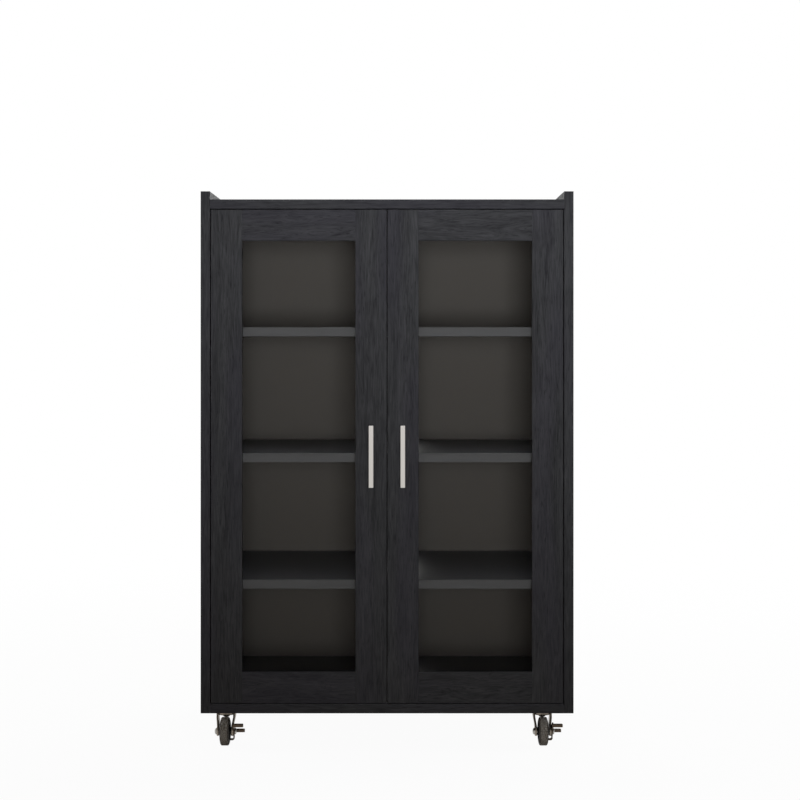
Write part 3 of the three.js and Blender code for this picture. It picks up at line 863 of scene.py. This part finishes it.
def makePlate(place):  # a cross, flat on the side panel
    low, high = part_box(f"left_hinge_plate_{place}")
    centre, half = (low + high) / 2, (high - low) / 2
    arm = hingeLook["plateArm"]
    corner = [(-half.y, -arm), (-arm, -arm), (-arm, -half.z)]  # one inner corner, then the other three
    cross = (corner + [(-y, z) for y, z in reversed(corner)]
             + [(-y, -z) for y, z in corner] + [(y, -z) for y, z in reversed(corner)])
    points = [(low.x, centre.y + y, centre.z + z) for y, z in cross]
    plate = drawPlate(f"leftHingePlate{place.capitalize()}", points, (high.x - low.x, 0, 0))
    easeEdges(plate, hingeLook["plateCorner"], 5, lambda edge: runsAlong("X")(edge) and isSharp(edge))
    inner = high.x - 0.01 * mm
    easeEdges(plate, hingeLook["easing"], 3, lambda edge: isSharp(edge) and edge.verts[0].co.x > inner)
    return paint(smoothOver(plate), finishes["nickel"])


armLook = {
    # millimetres from the door's hinge edge and from its face, seen from above
    "pin": (16, 7.2),
    "eye": 2.5,  # radius about the pin
    "hole": 1.5,
    "thick": 3,
    "web": 5.7,  # front of the part that carries the eye
    "crank": 34,  # outer side of the part that runs back round the stile
    "cross": 28.5,  # front of the part that comes back to the plate
    "sides": (1.5, 9.5),  # of the bar on the plate
    "rear": 82,
    "bends": (1, 3, 2),  # radii inside and outside the crank, and at the bar
}


def makeArm(place):
    look = armLook
    low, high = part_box(f"left_hinge_arm_{place}")
    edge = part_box("left_door_hinge_stile")[0]
    thick, web, cross, crank, rear = (look[key] for key in ("thick", "web", "cross", "crank", "rear"))
    (outer, inner), (inside, outside, bend) = look["sides"], look["bends"]
    outline = [
        (outer, rear), *arc(outer + bend, cross + bend, bend, 180, 270, 4),
        *arc(crank - thick - inside, cross - inside, inside, 90, 0, 3),
        *arc(crank - thick - inside, web + thick + inside, inside, 0, -90, 3),
        *arc(*look["pin"], look["eye"], 38, 322, 18),
        *arc(crank - outside, web + outside, outside, 270, 360, 6),
        *arc(crank - outside, cross + thick - outside, outside, 0, 90, 6),
        *arc(inner + bend, cross + thick + bend, bend, 270, 180, 4), (inner, rear)]
    points = [(edge.x + x * mm, edge.y + y * mm, low.z) for x, y in outline]
    arm = drawPlate(f"leftHingeArm{place.capitalize()}", points, (0, 0, high.z - low.z))
    pinX, pinY = look["pin"]
    holeStart = (edge.x + pinX * mm, edge.y + pinY * mm, low.z - mm)
    combine(arm, [startRod("hole", "Z", holeStart, look["hole"] * mm, 16 * mm, 24)], "DIFFERENCE")
    easeEdges(arm, hingeLook["easing"], 2, lambda e: isSharp(e) and not runsAlong("Z")(e))
    return paint(smoothOver(arm), finishes["nickel"])


hingePieces = []
for place in ("lower", "upper"):
    hingePieces += [
        (f"left_hinge_cup_{place}", makeCup(place), "left_door"),
        (f"left_hinge_plate_{place}", makePlate(place), "case"),
        (f"left_hinge_arm_{place}", makeArm(place), "case"),
    ]
print("hinge pieces:", len(hingePieces))


def otherSide(name):
    return name.replace("left", "right", 1)


for node, (piece, slot) in leftDoorPieces.items():
    fit(copyTo(piece, otherSide(piece.name), flip=True), "right_door", slot, otherSide(node))
    fit(piece, "left_door", slot, node)
for node, piece, body in hingePieces:
    fit(copyTo(piece, otherSide(piece.name), flip=True), otherSide(body), "satin_nickel", otherSide(node))
    fit(piece, body, "satin_nickel", node)

flangeScrew = makeScrew("flangeScrew", "Y", 3.9 * mm, 1.9 * mm, finishes["nickel"])
plateScrew = makeScrew("plateScrew", "X", 3.6 * mm, 1.8 * mm, finishes["nickel"])
for side in ("left", "right"):
    screwPlaces = []
    for place in ("lower", "upper"):
        screwPlaces += twoAlongZ(faceMiddle(f"{side}_hinge_cup_{place}", "Y"), hingeLook["screwReach"])
    behindHandle = middleOf(f"{side}_door_handle")
    behindHandle.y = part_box(f"{side}_door_lock_stile")[1].y
    screwPlaces += twoAlongZ(behindHandle, handleLook["postReach"])
    placeScrews(f"{side}DoorScrews", flangeScrew, screwPlaces, f"{side}_door", "satin_nickel")
platePlaces = []
for place in ("lower", "upper"):
    platePlaces += twoAlongZ(faceMiddle(f"left_hinge_plate_{place}", "X"), hingeLook["plateScrewReach"])
plateScrews = placeScrews("leftHingePlateScrews", plateScrew, platePlaces, "case", "satin_nickel")
fit(copyTo(plateScrews, "rightHingePlateScrews", flip=True), "case", "satin_nickel")
bpy.data.objects.remove(flangeScrew)
bpy.data.objects.remove(plateScrew)
print("doors, hinges and their screws")


# The casters, made about the front left kingpin and copied to the other corners

casterLook = {
    "plateThick": 2 * mm,
    "plateCorner": 5 * mm,
    "plateEasing": 0.4 * mm,
    "screwSpots": [(x * mm, y * mm) for x in (-15, 15) for y in (-20, 20)],
    "screwHole": 2.3 * mm,
    # turned profiles, as radius and height above the floor in millimetres
    "race": [
        (0, 52), (8, 52), (9.4, 52.5), (12, 55.2), (12.4, 56.2),
        (12.4, 62), (14, 63), (17, 64), (17, 65), (0, 65)],
    "kingpin": [
        (0, 42.1), (3.2, 42.2), (4.6, 42.9), (5.7, 44.2), (6, 45.2),
        (6, 46.7), (3.6, 46.7), (3.6, 53), (0, 53)],
    # below this height the kingpin's head is painted in the brake finish: painted shade under the crown
    "paintedShadeBelow": 46.8 * mm,  # the kingpin's head
    "crownRadius": 15.5 * mm,
    "crownFloor": 47 * mm,
    "crownTop": 61 * mm,
    "kingpinHole": 4.4 * mm,
    "rimEasing": (0.3 * mm, 0.4 * mm),  # inside the crown's open end
    "sheet": 2.4 * mm,
    "trail": 20 * mm,  # the axle lies this far in front of the kingpin
    "legInner": 10.2 * mm,
    "legThick": 3.2 * mm,
    "legSet": 0.2 * mm,  # how far the leg's outer face lies inside the crown's
    "legTop": 52.6 * mm,
    "legFront": (-11 * mm, -13.5 * mm),  # at its top and at the upper bend
    "legRear": (11 * mm, 8 * mm),
    "legEye": 7.6 * mm,
    "bendLow": 32 * mm,
    "bendHigh": 44 * mm,
    "axleHole": 3.3 * mm,
    "easing": 0.5 * mm,
}
axleHeight = middleOf("front_left_caster_wheel").z
axle = (0, -casterLook["trail"], axleHeight)


def makeCasterPlate():
    look = casterLook
    low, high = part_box("front_left_caster_plate")
    half = (high - low) / 2
    floor = high.z - look["plateThick"]
    corners = [(-half.x, -half.y), (half.x, -half.y), (half.x, half.y), (-half.x, half.y)]
    plate = drawPlate("casterPlate", [(x, y, floor) for x, y in corners], (0, 0, look["plateThick"]))
    easeEdges(plate, look["plateCorner"], 8, runsAlong("Z"))
    easeEdges(
        plate, look["plateEasing"], 2, lambda edge: isSharp(edge) and edge.verts[0].co.z < floor + 0.01 * mm)
    holes = [startRod("hole", "Z", (x, y, floor - mm), look["screwHole"], 4 * mm, 24)
             for x, y in look["screwSpots"]]
    combine(plate, [joined(holes)], "DIFFERENCE")
    turned = [turnProfile(part, [(r * mm, z * mm) for r, z in look[part]], (0, 0, 0), "Z", steps)
              for part, steps in (("race", 48), ("kingpin", 40))]
    combine(plate, turned, "UNION")
    paint(smoothOver(plate), finishes["caster"])
    # painted shade: the kingpin's head under the crown takes the darker brake finish
    return paintFaces(plate, finishes["brake"], lambda face: face.center.z < look["paintedShadeBelow"])


def makeFork():
    look = casterLook
    radius, floor, top, sheet = look["crownRadius"], look["crownFloor"], look["crownTop"], look["sheet"]
    hole, easing, (rimWidth, rimDepth) = look["kingpinHole"], look["easing"], look["rimEasing"]
    turns = [math.radians(a) for a in (0, 22, 45, 68, 90)]
    bend = [(radius - sheet + sheet * math.sin(a), floor + sheet - sheet * math.cos(a)) for a in turns]
    crown = turnProfile("casterFork", [
        (hole, floor), *bend, (radius, top - easing), (radius - easing, top),
        (radius - sheet + rimWidth, top), (radius - sheet, top - rimDepth),
        (radius - sheet, floor + sheet), (hole, floor + sheet)], (0, 0, 0), "Z", 64, closed=True)

    # one leg, seen from the side: a round eye about the axle, raked back up to the crown
    eye = arc(-look["trail"], axleHeight, look["legEye"], 153, 315, 16)
    shoulder, legTop = look["bendHigh"], look["legTop"]
    (topFront, front), (topRear, rear) = look["legFront"], look["legRear"]
    outline = [(topFront, legTop), (front, shoulder), *eye, (rear, shoulder), (topRear, legTop)]
    inner, thick = look["legInner"], look["legThick"]
    leg = drawPlate("leg", [(inner, y, z) for y, z in outline], (thick, 0, 0))
    for height in (look["bendLow"], shoulder):
        choose(leg, "FACE", lambda face: True)
        bpy.ops.mesh.bisect(plane_co=(0, 0, height), plane_no=(0, 0, 1))
        clearSelection()
    choose(leg, "VERT", lambda vert: vert.co.z > shoulder - 0.1 * mm)
    bpy.ops.transform.translate(value=(radius - thick - look["legSet"] - inner, 0, 0))
    clearSelection()
    easeEdges(leg, easing, 2, isSquare)
    bore = startRod("bore", "X", (0, *axle[1:]), look["axleHole"], 20 * mm, 32)
    combine(leg, [bore], "DIFFERENCE")
    otherLeg = copyTo(leg, "otherLeg", flip=True)
    combine(crown, [leg, otherLeg], "UNION")
    return paint(smoothOver(crown), finishes["caster"])


boltLook = {
    "headStart": 13.7 * mm,  # the head's flat face, from the wheel's middle
    "headRadius": 5.5 * mm,
    "rim": 0.5 * mm,
    "domeRise": 3.1 * mm,
    "shank": 3 * mm,
    "past": 2.9 * mm,  # how far the tip reaches past the nut's flat face
    "chamfer": 0.6 * mm,
    "nutStarts": {"front": 15.8 * mm, "rear": 13.7 * mm},  # the front ones hold the brake levers on
    "nutRadius": 5.2 * mm,
    "nutThick": 2.2 * mm,
    "nutEasing": 0.35 * mm,
}


def makeAxle(nutStart):
    look = boltLook
    head, radius, shank, chamfer = -look["headStart"], look["headRadius"], look["shank"], look["chamfer"]
    domeFoot, tip = head - look["rim"], nutStart + look["past"]
    dome = [(radius * math.cos(math.radians(a)), domeFoot - look["domeRise"] * math.sin(math.radians(a)))
            for a in (90, 70, 50, 32, 16, 0)]
    bolt = turnProfile("casterAxle", [
        *dome, (radius, head), (shank, head), (shank, tip - chamfer), (shank - chamfer, tip), (0, tip)],
        axle, "X", 40)
    nut = startRod("nut", "X", (nutStart, *axle[1:]), look["nutRadius"], look["nutThick"], 6)
    easeEdges(nut, look["nutEasing"])
    combine(bolt, [nut], "UNION")
    return paint(smoothOver(bolt), finishes["bolt"])


wheelLook = {
    # radius and half width in millimetres, out from the bore: hub, dished web, rim and tyre
    "hub": [(3.4, 9.2), (3.6, 9.4), (7, 9.4), (7.4, 9.1)],
    "web": [(7.8, 6.2), (8.4, 5.6), (12.4, 5.4), (13.2, 5.8)],
    "rim": [(13.7, 7.4), (14.3, 8), (15, 8.1), (17, 7.85)],
    "tyre": [(19, 7.4), (20.6, 6.9), (21.8, 6.3)],
    "treadEdge": [(0.35, 5.7), (0, 4.9)],  # below the wheel's own radius
    "shoulderFrom": 17.5 * mm,
    "treadFrom": 22.6 * mm,
}


def makeWheel():
    look = wheelLook
    half = [(r * mm, x * mm) for part in ("hub", "web", "rim", "tyre") for r, x in look[part]]
    half += [(axleHeight - r * mm, x * mm) for r, x in look["treadEdge"]]
    profile = [(r, -x) for r, x in half] + half[::-1]
    wheel = turnProfile("casterWheel", profile, axle, "X", 96, closed=True)
    smoothOver(paint(wheel, finishes["wheelSide"]), 40)

    def isBeyond(radius):
        return lambda face: math.hypot(face.center.y - axle[1], face.center.z - axle[2]) > radius

    # the shoulders are painted darker and the tread paler: painted shade and a painted highlight across the
    # tyre
    paintFaces(wheel, finishes["shoulder"], isBeyond(look["shoulderFrom"]))
    return paintFaces(wheel, finishes["tread"], isBeyond(look["treadFrom"]))


brakeLook = {
    "start": 13.7 * mm,
    "thick": 1.8 * mm,
    "halfWidth": 4.5 * mm,
    "front": (-14 * mm, 12.8 * mm),  # middles of the two ears, from the axle
    "rear": (14 * mm, -2 * mm),
    "reach": 31 * mm,
    "earDepth": 8.6 * mm,
    "earHeight": 5 * mm,
    "earSheet": 1.6 * mm,
    "earCorner": 2.5 * mm,
    "earEasing": 0.7 * mm,  # along its top
    "earBed": 0.2 * mm,  # how far it starts inside the beam
    "earTilt": -0.09,  # radians
    "boss": 8 * mm,
    "beamCorner": 3 * mm,
    "shoeWidth": 8 * mm,
    "easing": 0.4 * mm,
}


def makeEar(y, z):  # a shallow channel, open below, with rounded outer corners
    look = brakeLook
    start, reach, sheet = look["start"], look["reach"], look["earSheet"]
    depth, height = look["earDepth"] / 2, look["earHeight"] / 2
    ear = startBlock("ear", (start + look["earBed"], -depth, -height), (reach, depth, height))
    upright = runsAlong("Z")
    easeEdges(ear, look["earCorner"], 5, lambda edge: upright(edge) and edge.verts[0].co.x > reach - mm)
    easeEdges(ear, look["earEasing"], 3, lambda edge: isSharp(edge) and min(v.co.z for v in edge.verts) > 0)
    hollow = startBlock(
        "hollow",
        (start + look["thick"], sheet - depth, -height - mm), (reach - sheet, depth - sheet, height - sheet))
    combine(ear, [hollow], "DIFFERENCE")
    ear.rotation_euler.x = look["earTilt"]
    ear.location = (0, axle[1] + y, axle[2] + z)
    return settle(ear)


def makeBrake():
    look = brakeLook
    start, thick, width = look["start"], look["thick"], look["halfWidth"]
    front, rear = Vector((0, *look["front"])), Vector((0, *look["rear"]))
    along = (rear - front).normalized()
    across = Vector((0, -along.z, along.y))
    centre = Vector(axle)
    middle = centre + (front + rear) / 2
    half = (rear - front).length / 2 + width

    boss = startRod("frontBrakeLever", "X", (start, *axle[1:]), look["boss"], thick)
    corners = [middle + along * a * half + across * b * width + axes["X"] * start
               for a, b in ((-1, -1), (1, -1), (1, 1), (-1, 1))]
    beam = drawPlate("beam", corners, (thick, 0, 0))
    easeEdges(beam, look["beamCorner"], 6, runsAlong("X"))
    # the shoe is bent in towards the wheel: its section in millimetres, from the axle
    outer, inner = start / mm, (start + thick) / mm
    section = [
        (outer, -5), (outer, -10.8), (outer - 1.4, -12.2), (8.6, -12.2),
        (8.6, -14.2), (outer - 0.4, -14.2), (inner, -12), (inner, -5)]
    side = -look["shoeWidth"] / 2
    points = [centre + Vector((x * mm, side, z * mm)) for x, z in section]
    shoe = drawPlate("shoe", points, (0, look["shoeWidth"], 0))
    easeEdges(shoe, look["easing"], 2, isSquare)
    combine(boss, [beam, shoe, makeEar(*look["front"]), makeEar(*look["rear"])], "UNION")
    bore = startRod("bore", "X", (start - mm, *axle[1:]), casterLook["axleHole"], 5 * mm, 32)
    combine(boss, [bore], "DIFFERENCE")
    return paint(smoothOver(boss), finishes["brake"])


def putPart(part, node, offset, body, slot="caster_steel"):
    fit(copyTo(part, pieceName(node), offset), body, slot, node)


casterParts = {"plate": makeCasterPlate(), "fork": makeFork(), "wheel": makeWheel(), "brake": makeBrake()}
axles = {end: makeAxle(nutStart) for end, nutStart in boltLook["nutStarts"].items()}
casterScrew = makeScrew("casterScrew", "Z", 4 * mm, 1.9 * mm, finishes["caster"])
takeUp(casterScrew)
casterScrew.rotation_euler.x = math.pi
settle(casterScrew)  # its head points down
for end in ("front", "rear"):
    for side in ("left", "right"):
        place = f"{end}_{side}"
        plateMiddle = middleOf(f"{place}_caster_plate")
        offset = Vector((plateMiddle.x, plateMiddle.y, 0))
        putPart(casterParts["plate"], f"{place}_caster_plate", offset, "case")
        putPart(casterParts["fork"], f"{place}_caster_fork", offset, f"{place}_swivel")
        putPart(axles[end], f"{place}_caster_axle", offset, f"{place}_swivel")
        putPart(casterParts["wheel"], f"{place}_caster_wheel", offset, f"{place}_wheel", "wheel_rubber")
        if end == "front":
            putPart(casterParts["brake"], f"{place}_brake_lever", offset, f"{place}_brake")
        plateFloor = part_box(f"{place}_caster_plate")[1].z - casterLook["plateThick"]
        spots = [offset + Vector((x, y, plateFloor)) for x, y in casterLook["screwSpots"]]
        placeScrews(pieceName(f"{place}_caster_screws"), casterScrew, spots, "case", "caster_steel")
for part in (*casterParts.values(), *axles.values(), casterScrew):
    bpy.data.objects.remove(part)
print("casters: 4")


# Floor, light and camera

studio = {
    "ambient": 0.04,
    "floorTone": "#7c6a52",  # what the floor throws back
    "floorSeen": "#f4f4f2",
    "floorShadow": 0.045,  # how much of the shadow on the floor the camera sees
    "floorNear": 0.7,  # metres from the middle, where the shadow starts to fade
    "floorFar": 2.2,  # and where it has gone
    "key": {
        "power": 6.5, "size": 1.0, "place": (0.12, -0.85, 1.68), "aim": (0, 0, 0.7),
        "colour": (0.88, 0.9, 1.0)},
    "front": {
        "power": 21.8, "size": 0.6, "place": (0.15, -3.4, 0.62), "aim": (0.215, 0, 1.58),
        "colour": (0.9, 0.945, 1.0), "spread": 61, "mirrored": False},
    "fill": {
        "power": 14, "size": 1.0, "place": (0, -3.4, 0.6), "aim": (0, 0, 0.5), "colour": (1.0, 0.79, 0.58),
        "mirrored": False},
    "back": {
        "power": 40, "size": 2.0, "place": (0.4, 1.9, 1.9), "aim": (0, 0.2, 0.5), "colour": (1.0, 1.0, 1.0)},
    "left": {
        "power": 18, "size": 1.0, "place": (-2.5, 0.6, 1.0), "aim": (0, 0, 0.5), "colour": (1.0, 1.0, 1.0),
        "mirrored": False},
    "right": {
        "power": 18, "size": 1.0, "place": (2.5, 0.6, 1.0), "aim": (0, 0, 0.5), "colour": (1.0, 1.0, 1.0),
        "mirrored": False},
}


def seenRays(owner):  # 1 for what the camera sees, straight, in a reflection or through glass
    rays = addNode(owner, "ShaderNodeLightPath", {}).outputs
    direct = addNode(owner, "ShaderNodeMath", {
        0: rays["Is Camera Ray"], 1: rays["Is Glossy Ray"]}, operation="MAXIMUM")
    return addNode(owner, "ShaderNodeMath", {
        0: direct.outputs[0], 1: rays["Is Transmission Ray"]}, operation="MAXIMUM").outputs[0]


def makeFloor():
    clearSelection()
    bpy.ops.mesh.primitive_plane_add(size=60, location=(0, 0, -0.2 * mm))
    floor = settle(bpy.context.object)
    floor.name = "studioFloor"
    material = bpy.data.materials.new("paleStudioFloor")
    material.use_nodes = True
    material.node_tree.nodes.clear()
    place = addNode(material, "ShaderNodeTexCoord", {}).outputs["Object"]
    distance = addNode(material, "ShaderNodeVectorMath", {0: place}, operation="LENGTH")
    near = addNode(material, "ShaderNodeMapRange", {
        "Value": distance.outputs["Value"], "From Min": studio["floorNear"], "From Max": studio["floorFar"],
        "To Min": studio["floorShadow"], "To Max": 0.0}, interpolation_type="SMOOTHSTEP")
    dull = addNode(material, "ShaderNodeBsdfDiffuse", {"Color": linear(studio["floorTone"])})
    pale = addNode(material, "ShaderNodeBsdfDiffuse", {"Color": linear(studio["floorSeen"])})
    white = addNode(material, "ShaderNodeEmission", {"Color": (1, 1, 1, 1), "Strength": 1})
    seen = addNode(material, "ShaderNodeMixShader", {
        0: near.outputs[0], 1: white.outputs[0], 2: pale.outputs[0]})
    mixed = addNode(material, "ShaderNodeMixShader", {
        0: seenRays(material), 1: dull.outputs[0], 2: seen.outputs[0]})
    addNode(material, "ShaderNodeOutputMaterial", {"Surface": mixed.outputs[0]})
    paint(floor, material)


def makeWorld():
    world = bpy.data.worlds.new("softRoom")
    bpy.context.scene.world = world
    world.use_nodes = True
    world.node_tree.nodes.clear()
    soft = addNode(world, "ShaderNodeBackground", {"Color": (1, 1, 1, 1), "Strength": studio["ambient"]})
    white = addNode(world, "ShaderNodeBackground", {"Color": (1, 1, 1, 1), "Strength": 1})
    mixed = addNode(world, "ShaderNodeMixShader", {
        0: seenRays(world), 1: soft.outputs[0], 2: white.outputs[0]})
    addNode(world, "ShaderNodeOutputWorld", {"Surface": mixed.outputs[0]})


def addLamp(name, power, size, place, aim, colour, spread=180, mirrored=True):
    # spread: the beam's full angle in degrees; mirrored: whether gloss and glass show the lamp
    clearSelection()
    bpy.ops.object.light_add(type="AREA", location=place)
    lamp = bpy.context.object
    lamp.name = name
    lamp.data.energy = power
    lamp.data.color = colour
    lamp.data.size = size
    lamp.data.spread = math.radians(spread)
    lamp.visible_glossy = mirrored
    lamp.visible_transmission = mirrored
    lamp.rotation_euler = (Vector(aim) - Vector(place)).to_track_quat("-Z", "Y").to_euler()


makeFloor()
makeWorld()
for lampName in ("key", "front", "fill", "back", "left", "right"):
    addLamp(f"{lampName}Lamp", **studio[lampName])

viewLook = {"place": (0.0272, -2.786, 0.668), "lens": 72.73, "shift": (-0.005, -0.0760)}
clearSelection()
bpy.ops.object.camera_add(location=viewLook["place"], rotation=(math.pi / 2, 0, 0))
camera = bpy.context.object
camera.data.lens = viewLook["lens"]
camera.data.shift_x, camera.data.shift_y = viewLook["shift"]
camera.data.clip_end = 100
bpy.context.scene.camera = camera
bpy.context.scene.view_settings.view_transform = "Standard"
print("floor, lamps and camera")
